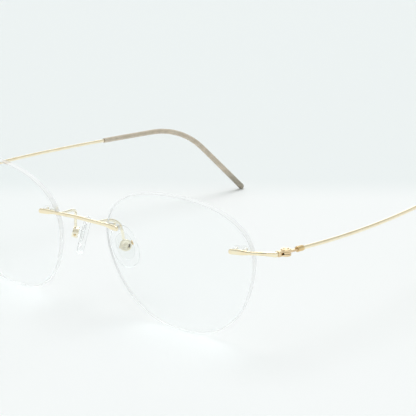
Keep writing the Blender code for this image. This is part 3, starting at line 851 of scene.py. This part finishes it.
def make_lens():
    """A meniscus with a ground edge and safety bevels, drilled for its four pins."""
    outline = lens_outline(192)
    shares = [1 - k / 14 for k in range(14)]
    rings = face_rings(outline, reversed(shares), 0.0)
    rim_starts = len(rings) - 1
    for depth in (RIM_BEVEL, LENS_THICKNESS / 2, LENS_THICKNESS - RIM_BEVEL):
        rings.append(rim_ring(outline, 0.0, -depth))
    rim_ends = len(rings)
    rings += face_rings(outline, shares, -LENS_THICKNESS)
    lens = loft("lens_left_fine", rings)
    lens.data.materials.append(LENS)
    lens.data.materials.append(RIM)
    count = len(outline)
    for face in lens.data.polygons:
        row = face.index // count
        face.material_index = 1 if rim_starts <= row < rim_ends else 0
    for mount_v, pins in ((BRIDGE_MOUNT_V, BRIDGE_PINS_U), (END_MOUNT_V, END_PINS_U)):
        for u in pins:
            front_end = on_lens(u, mount_v, OVERRUN)
            back_end = on_lens(u, mount_v, -LENS_THICKNESS - OVERRUN)
            hole = rod("hole", front_end, back_end, LENS_HOLE)
            hole.data.materials.append(RIM)
            lens = cut(lens, hole)
    finish_pair(lens, "front", None, 30)


def make_mount(name, mount_v, pins):
    """The twin plastic sleeve behind the lens, and the two domed pins that fill it."""
    plate_top = -LENS_THICKNESS - MOUNT_GAP
    plate_end = plate_top - SLEEVE_PLATE
    middle = sum(pins) / 2
    centre = on_lens(middle, mount_v, (plate_top + plate_end) / 2)
    along = on_lens(pins[0], mount_v, 0.0) - on_lens(pins[1], mount_v, 0.0)
    length = along.length + 2 * (SLEEVE_RADIUS + BUSHING_PAST_ENDS)
    width = 2 * (SLEEVE_RADIUS + BUSHING_PAST_SIDES)
    bushing = plate(f"{name}_bushing_left_fine", stadium(length, width), SLEEVE_PLATE)
    bushing = rounded(bushing, BUSHING_ROUNDING)
    placed(bushing, axes_at(centre, along, lens_normal(middle, mount_v)))
    for u in pins:
        front = on_lens(u, mount_v, -0.1)
        inside = on_lens(u, mount_v, plate_end + 0.1)
        bushing = join(bushing, rod("sleeve", front, inside, SLEEVE_RADIUS))
    for u in pins:
        start = on_lens(u, mount_v, OVERRUN)
        end = on_lens(u, mount_v, plate_end - OVERRUN)
        bushing = cut(bushing, rod("bore", start, end, SLEEVE_BORE))
    finish_pair(bushing, "front", BUSHING)
    for label, u in zip(("inner", "outer"), pins):
        start = on_lens(u, mount_v, 0.0)
        end = on_lens(u, mount_v, plate_end - PIN_STICK_OUT)
        straight = (end - start).length - PIN_DOME
        heights = [0.0, straight]
        radii = [PIN_RADIUS, PIN_RADIUS]
        for turn in (math.radians(15 * k) for k in range(1, 6)):
            heights.append(straight + PIN_DOME * math.sin(turn))
            radii.append(PIN_RADIUS * math.cos(turn) ** 0.8)
        points = [start - lens_normal(u, mount_v) * height for height in heights]
        pin = tube(f"{name}_pin_left_{label}_fine", points, radii)
        finish_pair(pin, "front", GOLD)


# ---- bridge and end pieces -----------------------------------------------------------


def bar(name, stations):
    """A bar lofted through (centre, thickness direction, half depth, half height)."""
    centres = [station[0] for station in stations]
    sides = [station[1] for station in stations]
    rings = []
    for station, (side, up) in zip(stations, frames_along(centres, sides)):
        centre, _, depth, height = station
        section = oval(depth, height, 24, 3.0, 0.5)
        rings.append([centre + side * x + up * z for x, z in section])
    return loft(name, rings)


def eased(low, high, share):
    """low to high, slow at both ends."""
    share = min(max(share, 0.0), 1.0)
    return low + (high - low) * share * share * (3 - 2 * share)


def round_end(travelled, radius, least):
    """How much of its full size a round end has reached, its square never under least."""
    return math.sqrt(max(1 - max(1 - travelled / radius, 0.0) ** 2, least))


def bar_on_lens(tip_u, edge_u, mount_v):
    """Stations of a bar from its rounded tip to the lens's edge, flat and then slim."""
    stations = []
    for i in range(33):
        share = (i / 32) ** 1.5
        u = tip_u + (edge_u - tip_u) * share
        travelled = abs(edge_u - tip_u) * share
        height = eased(BAR_TALL, BAR_SLIM, (share - BAR_SLIMS_AT) / (1 - BAR_SLIMS_AT))
        height *= round_end(travelled, BAR_TALL, 0.02)
        depth = BAR_DEPTH * round_end(travelled, BAR_TIP_THINS, 0.12)
        place = on_lens(u, mount_v, BAR_GAP + BAR_DEPTH)
        stations.append((place, lens_normal(u, mount_v), depth, height))
    return stations


def make_bridge():
    """One bar from lens to lens, arched up and forward over the nose."""
    half = bar_on_lens(BRIDGE_TIP_U, BRIDGE_EDGE_U, BRIDGE_MOUNT_V)
    edge = half[-1][0]
    shoulder = BRIDGE_SHOULDER
    mirror = Vector((-shoulder.x, shoulder.y, shoulder.z))
    arch = smooth_path([edge, shoulder, BRIDGE_CREST, mirror], 12)[1:25]
    forward = Vector((0, -1, 0))
    half += [(place, forward, BAR_DEPTH, BAR_SLIM) for place in arch]
    other = [
        (Vector((-p.x, p.y, p.z)), Vector((-n[0], n[1], n[2])), d, h)
        for p, n, d, h in reversed(half[:-1])
    ]
    bridge = placed(bar("bridge_fine", half + other), TO_ROW)
    bridge.data.materials.append(GOLD)
    smooth(bridge, 50)
    hand_over(bridge, "front")


def temple_heading():
    """The temple's direction where it leaves the hinge."""
    return Vector((BOW_LINEAR, 1.0, 0.0)).normalized()


def make_endpiece():
    """The bar on the lens, carried on round the lens's edge to the hinge."""
    stations = bar_on_lens(END_TIP_U, END_EDGE_U, END_MOUNT_V)
    edge = stations[-1][0]
    facing = lens_normal(END_EDGE_U, END_MOUNT_V)
    root = HINGE - temple_heading() * (WEB_LENGTH + BAR_GAP)
    before_root = root - temple_heading() * NECK_STRAIGHT
    neck = edge.lerp(before_root, 0.55) + NECK_BEND
    path = [*smooth_path([edge, neck, before_root], 12)[1:], root]
    outward = Vector((1.0, -0.2, 0.0))
    for i, place in enumerate(path, start=1):
        share = i / len(path)
        turn = facing.lerp(outward, share)
        height = BAR_SLIM + (NECK_TALL - BAR_SLIM) * share**2
        stations.append((place, turn, BAR_DEPTH, height))
    piece = bar("endpiece_left_fine", stations)
    finish_pair(piece, "front", GOLD, 50)


# ---- hinges --------------------------------------------------------------------------


def hinge_frame():
    """A placing matrix at the hinge's middle, with X along the temple and Z its axis."""
    return axes_at(HINGE, temple_heading(), (0, 0, 1))


def up_from_hinge(low, high):
    """Two points on the hinge axis, at heights from its middle."""
    return HINGE + Vector((0, 0, low)), HINGE + Vector((0, 0, high))


def hinge_bore():
    """A cutter for the hinge screw's hole."""
    radius = HINGE_SCREW_RADIUS + HINGE_CLEARANCE
    return rod("bore", *up_from_hinge(-OVERRUN, OVERRUN), radius)


def make_fork():
    """Two ears with a slot between them, on a web that meets the end piece."""
    side = WEB_WIDTH / 2
    outline = [(-WEB_LENGTH, -side), (0.0, -side), (0.0, side), (-WEB_LENGTH, side)]
    fork = rounded(plate("hinge_fork_left_fine", outline, WEB_HEIGHT), WEB_ROUNDING, 4)
    half = BARREL_HEIGHT / 2
    profile = [(0.0, half), (BARREL_RADIUS, half), (BARREL_RADIUS, -half), (0.0, -half)]
    fork = join(fork, turned("barrel", rounded_profile(profile, BARREL_ROUNDING)))
    placed(fork, hinge_frame())
    gap = TONGUE_HEIGHT / 2 + HINGE_CLEARANCE
    slot = rod("slot", *up_from_hinge(-gap, gap), BARREL_RADIUS + SLOT_BEYOND, 64)
    sink_floor = BARREL_HEIGHT / 2 - COUNTERBORE_DEPTH
    sink_radius = HINGE_HEAD_RADIUS + HINGE_CLEARANCE
    sink = rod("sink", *up_from_hinge(sink_floor, OVERRUN), sink_radius, 48)
    fork = cut(fork, slot, hinge_bore(), sink)
    finish_pair(fork, "front", GOLD_SHADED_HINGE)


def make_tongue():
    """The middle knuckle and the shank that carries it on the temple."""
    side = SHANK_WIDTH / 2
    shank = COLLAR_START - BAR_GAP
    knuckle = BARREL_RADIUS - KNUCKLE_INSET
    meeting = math.degrees(math.asin(side / knuckle))
    outline = circle(knuckle, 49, meeting, 360 - meeting)
    outline += [(shank, -side), (shank, side)]
    tongue = plate("hinge_tongue_left_fine", outline, TONGUE_HEIGHT)
    tongue = placed(rounded(tongue, TONGUE_ROUNDING), hinge_frame())
    tongue = cut(tongue, hinge_bore())
    finish_pair(tongue, "temple", GOLD_SHADED_HINGE)


def make_hinge_screw():
    """A slotted screw down through both ears and the tongue."""
    half = BARREL_HEIGHT / 2
    seat = half - COUNTERBORE_DEPTH + HINGE_HEAD_LIFT
    top = seat + HINGE_HEAD_HEIGHT
    profile = [
        (0.0, top),
        (HINGE_HEAD_RADIUS - 0.16, top),
        (HINGE_HEAD_RADIUS, top - 0.12),
        (HINGE_HEAD_RADIUS, seat),
        (HINGE_SCREW_RADIUS, seat),
        (HINGE_SCREW_RADIUS, -half + 0.05),
        (HINGE_SCREW_RADIUS - 0.1, -half - 0.05),
        (0.0, -half - 0.05),
    ]
    profile = rounded_profile(profile, 0.06)
    screw = placed(turned("hinge_screw_left_fine", profile), hinge_frame())
    slot = driver_slot(HINGE + Vector((0, 0, top)), (1, 0.5, 0), (0, 0, 1))
    finish_pair(cut(screw, slot), "front", GOLD_SHADED_HINGE)


def make_collar():
    """The ferrule that holds the temple wire, bored from behind."""
    length = COLLAR_LENGTH
    depth = length - (WIRE_START - COLLAR_START) + 0.1
    profile = [
        (0.0, length),
        (COLLAR_RADIUS, length),
        (COLLAR_RADIUS, 0.0),
        (COLLAR_BORE, 0.0),
        (COLLAR_BORE, depth),
        (0.0, depth),
    ]
    profile = rounded_profile(profile, COLLAR_ROUNDING, 4)
    heading = temple_heading()
    rear = HINGE + heading * (COLLAR_START + length)
    collar = turned("temple_collar_left_fine", profile)
    placed(collar, axes_at(rear, (0, 0, 1), -heading))
    finish_pair(collar, "temple", GOLD_MATT)


# ---- temples -------------------------------------------------------------------------


def temple_point(distance):
    """A point on the left temple's middle line, distance along it from the hinge."""
    angle = math.radians(BEND_ANGLE)
    bend = BEND_RADIUS * angle
    if distance < BEND_START:
        back, drop = distance, 0.0
    elif distance < BEND_START + bend:
        turn = (distance - BEND_START) / BEND_RADIUS
        back = BEND_START + BEND_RADIUS * math.sin(turn)
        drop = BEND_RADIUS * (1 - math.cos(turn))
    else:
        rest = distance - BEND_START - bend
        back = BEND_START + BEND_RADIUS * math.sin(angle) + rest * math.cos(angle)
        drop = BEND_RADIUS * (1 - math.cos(angle)) + rest * math.sin(angle)
    beyond = max(0.0, back - BOW_START)
    bow = BOW_LINEAR * back + BOW_SQUARE * beyond**2 + BOW_CUBE * beyond**3
    return HINGE + Vector((bow, back, -drop))


def steps_between(start, end, step):
    """Evenly spaced distances from start to end, about step apart."""
    count = max(2, round(abs(end - start) / step))
    return [start + (end - start) * k / count for k in range(count + 1)]


def make_temple_wire():
    """The drawn wire, from inside the collar to inside the tip."""
    stations = steps_between(WIRE_START, WIRE_END, 1.5)
    points = [temple_point(d) for d in stations]
    wire = tube("temple_wire_left_fine", points, [WIRE_RADIUS] * len(points))
    finish_pair(wire, "temple", GOLD_WIRE)


def tip_stations():
    """The tip's (distance, radius) pairs: up its bore, over its lip and to its end."""
    bored = [(d, TIP_BORE) for d in steps_between(WIRE_END + 0.3, TIP_START, 1.5)]
    lip = [(0.0, 0.14), (0.06, 0.06), (0.18, 0.01)]
    front = [(TIP_START + past, TIP_FRONT_RADIUS - inset) for past, inset in lip]
    dome = TIP_END_RADIUS
    length = TEMPLE_LENGTH - TIP_START
    sleeve = []
    for d in steps_between(TIP_START + 0.35, TEMPLE_LENGTH - dome, 1.0):
        widening = (TIP_END_RADIUS - TIP_FRONT_RADIUS) * (d - TIP_START) / length
        sleeve.append((d, TIP_FRONT_RADIUS + widening))
    widest = sleeve[-1][1]
    end = []
    for turn in (math.radians(90 * k / 12) for k in range(1, 12)):
        reach = TEMPLE_LENGTH - dome + dome * math.sin(turn)
        end.append((reach, widest * math.cos(turn) ** 0.9))
    return bored + front + sleeve + end


def make_temple_tip():
    """A soft sleeve that thickens towards its rounded end, open round the wire in front."""
    rings = []
    for distance, radius in tip_stations():
        along = (temple_point(distance + 0.5) - temple_point(distance - 0.5)).normalized()
        x = (Vector((0, 0, 1)) - along * along.z).normalized()
        rings.append(round_ring(temple_point(distance), x, along.cross(x), radius, 32))
    tip = loft("temple_tip_left_fine", rings)
    finish_pair(tip, "temple", SLEEVE, 60)


# ---- nose pads -----------------------------------------------------------------------


def pad_axes():
    """The pad's facing (towards the nose), its long axis (down) and its rocking axis."""
    splay = math.radians(PAD_SPLAY)
    level = Vector((-math.cos(splay), math.sin(splay), 0.0))
    long_axis = PAD_LONG_AXIS.normalized()
    facing = (level - long_axis * level.dot(long_axis)).normalized()
    return facing, long_axis, facing.cross(long_axis)


FACING, DOWN_PAD, ACROSS_PAD = pad_axes()


def pad_frame(height, drop=0.0):
    """A placing matrix with Z towards the nose and X down the pad's length."""
    place = PAD_PIVOT + FACING * height + DOWN_PAD * drop
    return axes_at(place, DOWN_PAD, FACING)


def pad_bore():
    """A cutter for the cross screw's hole."""
    reach = ACROSS_PAD * OVERRUN
    return rod("bore", PAD_PIVOT - reach, PAD_PIVOT + reach, PAD_SCREW_BORE)


def make_pad_box():
    """A round cup on the arm's end, open towards the pad and drilled across."""
    half = BOX_HALF_DEPTH
    dish = BOX_DISH_DEPTH - half
    profile = [
        (0.0, BOX_BASE - half),
        (BOX_BORE, BOX_BASE - half),
        (BOX_BORE, half),
        (BOX_RADIUS, half),
        (BOX_RADIUS, -half),
        (BOX_DISH_RADIUS, -half),
        (BOX_DISH_RADIUS - BOX_DISH_SLOPE, dish),
        (BOX_NUB_RADIUS, dish),
        (BOX_NUB_RADIUS, -half),
        (0.0, -half),
    ]
    profile = rounded_profile(profile, BOX_ROUNDING, 4)
    box = placed(turned("pad_box_left_fine", profile), pad_frame(0.0))
    finish_pair(cut(box, pad_bore()), "front", GOLD_PALE)


def make_pad_insert():
    """A hard oval plate with a boss that hangs on the cross screw."""
    plate_low = PAD_BACK + INSERT_COVER
    outline = oval(INSERT_LENGTH / 2, INSERT_WIDTH / 2, 48)
    insert = plate("pad_insert_left_fine", outline, INSERT_THICKNESS)
    insert = rounded(insert, INSERT_ROUNDING)
    placed(insert, pad_frame(plate_low + INSERT_THICKNESS / 2, PAD_DROP))
    low = PAD_PIVOT - FACING * BOSS_DEPTH
    high = PAD_PIVOT + FACING * (plate_low + 0.2)
    insert = join(insert, rod("boss", low, high, BOSS_RADIUS, 40))
    finish_pair(cut(insert, pad_bore()), "pad", INSERT)


def raised(ring, height, share=1.0, shift=0.0):
    """A flat (x, y) ring at a height, drawn in to a share of itself and shifted in x."""
    return [Vector((x * share + shift, y * share, height)) for x, y in ring]


def make_nose_pad():
    """The soft pad: a flat oval nose side, rounded flanks and a flat back round the boss."""
    outline = oval(PAD_LENGTH / 2, PAD_WIDTH / 2)
    hole = circle(BOSS_RADIUS + BOSS_GAP, len(outline))
    rim = raised(hole, PAD_BACK, 1.0, -PAD_DROP)
    flat = raised(outline, PAD_BACK, PAD_FLAT)
    rings = [raised(hole, PAD_BACK + PAD_UP_BOSS, 1.0, -PAD_DROP), rim]
    for share in (0.2, 0.4, 0.6, 0.8):
        rings.append([inner.lerp(outer, share) for inner, outer in zip(rim, flat)])
    half = PAD_THICKNESS / 2
    for angle in (math.radians(-90 + 18 * k) for k in range(11)):
        bulge = (1 - PAD_FLAT) * max(math.cos(angle), 0.0) ** 0.7
        rings.append(raised(outline, PAD_BACK + half + half * math.sin(angle), PAD_FLAT + bulge))
    for share in (0.65, 0.4, 0.2):
        rings.append(raised(outline, PAD_BACK + PAD_THICKNESS, share))
    pad = placed(loft("nose_pad_left_fine", rings), pad_frame(0.0, PAD_DROP))
    for piece in finish_pair(pad, "pad", SILICONE, 60):
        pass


def make_pad_screw():
    """A slotted screw across the box and the boss, along the rocking axis."""
    reach = BOX_RADIUS + PAD_SCREW_PAST_BOX
    top = reach + PAD_SCREW_HEAD_HEIGHT
    profile = [
        (0.0, top),
        (PAD_SCREW_HEAD, top),
        (PAD_SCREW_HEAD, reach),
        (PAD_SCREW_RADIUS, reach),
        (PAD_SCREW_RADIUS, -reach),
        (0.0, -reach),
    ]
    pose = axes_at(PAD_PIVOT, DOWN_PAD, -ACROSS_PAD)
    screw = placed(turned("pad_screw_left_fine", rounded_profile(profile, 0.12)), pose)
    slot = driver_slot(PAD_PIVOT - ACROSS_PAD * top, DOWN_PAD, -ACROSS_PAD)
    finish_pair(cut(screw, slot), "front", GOLD_MATT)


def make_pad_arm():
    """A bent wire from behind the bridge, back, down and out to the box."""
    box_top = PAD_PIVOT - FACING * 0.35 - DOWN_PAD * (BOX_RADIUS + 0.04)
    points = smooth_path([*ARM_ROUTE, box_top], 12)
    arm = tube("pad_arm_left_fine", points, [ARM_RADIUS] * len(points), 20, (1, 0, 0))
    finish_pair(arm, "front", GOLD_PALE)


# ---- stage, light and camera ---------------------------------------------------------


def make_floor():
    """A wide pale floor under the object, turned so that its Y runs away from the view."""
    bm = bmesh.new()
    bmesh.ops.create_grid(bm, x_segments=1, y_segments=1, size=FLOOR_REACH)
    floor = add_mesh("floor", bm)
    floor.location = (hinge_row.x + VIEW_FROM_HINGE.x * MM, hinge_row.y, 0.0)
    floor.rotation_euler.z = math.radians(VIEW_AZIMUTH)
    floor.data.materials.append(floor_material())


def direction(azimuth, elevation):
    """From the object towards an azimuth round it, 0 being in front, and an elevation."""
    azimuth, elevation = math.radians(azimuth), math.radians(elevation)
    level = Vector((math.sin(azimuth), -math.cos(azimuth), 0.0))
    return level * math.cos(elevation) + Vector((0.0, 0.0, math.sin(elevation)))


def patch(tree, azimuth, elevation, edge, middle, around, inside):
    """A colour that is inside within middle degrees of a direction and around beyond edge.

    Either colour may be the output of an earlier patch.
    """
    place = tree.nodes.new("ShaderNodeTexCoord")
    towards = tree.nodes.new("ShaderNodeVectorMath")
    towards.operation = "DOT_PRODUCT"
    towards.inputs[1].default_value = direction(azimuth, elevation)
    tree.links.new(place.outputs["Generated"], towards.inputs[0])
    start, end = math.cos(math.radians(edge)), math.cos(math.radians(middle))
    share = eased_share(tree, towards.outputs["Value"], start, end)
    return mixed(tree, share, around, inside)


def make_sky():
    """A pale world with a dark room, a dim band, a bright cap and a window."""
    world = bpy.data.worlds.new("studio")
    world.use_nodes = True
    tree = world.node_tree
    sky = patch(tree, ROOM_AZIMUTH, ROOM_ELEVATION, ROOM_EDGE, ROOM_MIDDLE, SKY, ROOM)
    band = patch(tree, 0.0, ZENITH, BAND_EDGE, BAND_MIDDLE, WHITE, BAND)
    cap = patch(tree, 0.0, ZENITH, CAP_EDGE, CAP_MIDDLE, band, WHITE)
    window = patch(
        tree, WINDOW_AZIMUTH, WINDOW_ELEVATION, WINDOW_EDGE, WINDOW_MIDDLE, cap, WINDOW
    )
    whole = mixed(tree, 1.0, sky, window, "MULTIPLY")
    tree.links.new(whole, tree.nodes["Background"].inputs["Color"])
    bpy.context.scene.world = world
    bpy.context.scene.view_settings.view_transform = "Standard"


def make_overhead():
    """One large soft light overhead, aimed at the object's foot."""
    light = bpy.data.lights.new("overhead", "SUN")
    light.energy = OVERHEAD_POWER
    light.angle = math.radians(OVERHEAD_SPREAD)
    above = direction(OVERHEAD_AZIMUTH, OVERHEAD_ELEVATION)
    holder = add_object("overhead", light)
    holder.location = above
    holder.rotation_mode = "QUATERNION"
    holder.rotation_quaternion = (-above).to_track_quat("-Z", "Y")


def make_camera():
    """The view from in front and the wearer's left."""
    back = direction(VIEW_AZIMUTH, VIEW_ELEVATION)
    camera = bpy.data.cameras.new("camera")
    camera.sensor_width = SENSOR
    camera.lens = FOCAL_LENGTH
    camera.clip_start = 0.01
    camera.clip_end = 20.0
    holder = add_object("camera", camera)
    target = hinge_row + VIEW_FROM_HINGE * MM
    holder.location = target + back * VIEW_DISTANCE * MM
    turn = (-back).to_track_quat("-Z", "Y").to_matrix().to_4x4()
    roll = Matrix.Rotation(math.radians(VIEW_ROLL), 4, "Z")
    holder.rotation_mode = "QUATERNION"
    holder.rotation_quaternion = (turn @ roll).to_quaternion()
    bpy.context.scene.camera = holder


# ---- everything ----------------------------------------------------------------------

make_camera()
make_lens()
make_mount("bridge", BRIDGE_MOUNT_V, BRIDGE_PINS_U)
make_mount("endpiece", END_MOUNT_V, END_PINS_U)
make_bridge()
make_endpiece()
make_fork()
make_tongue()
make_hinge_screw()
make_collar()
make_temple_wire()
make_temple_tip()
make_pad_box()
make_pad_insert()
make_nose_pad()
make_pad_screw()
make_pad_arm()
make_floor()
make_sky()
make_overhead()
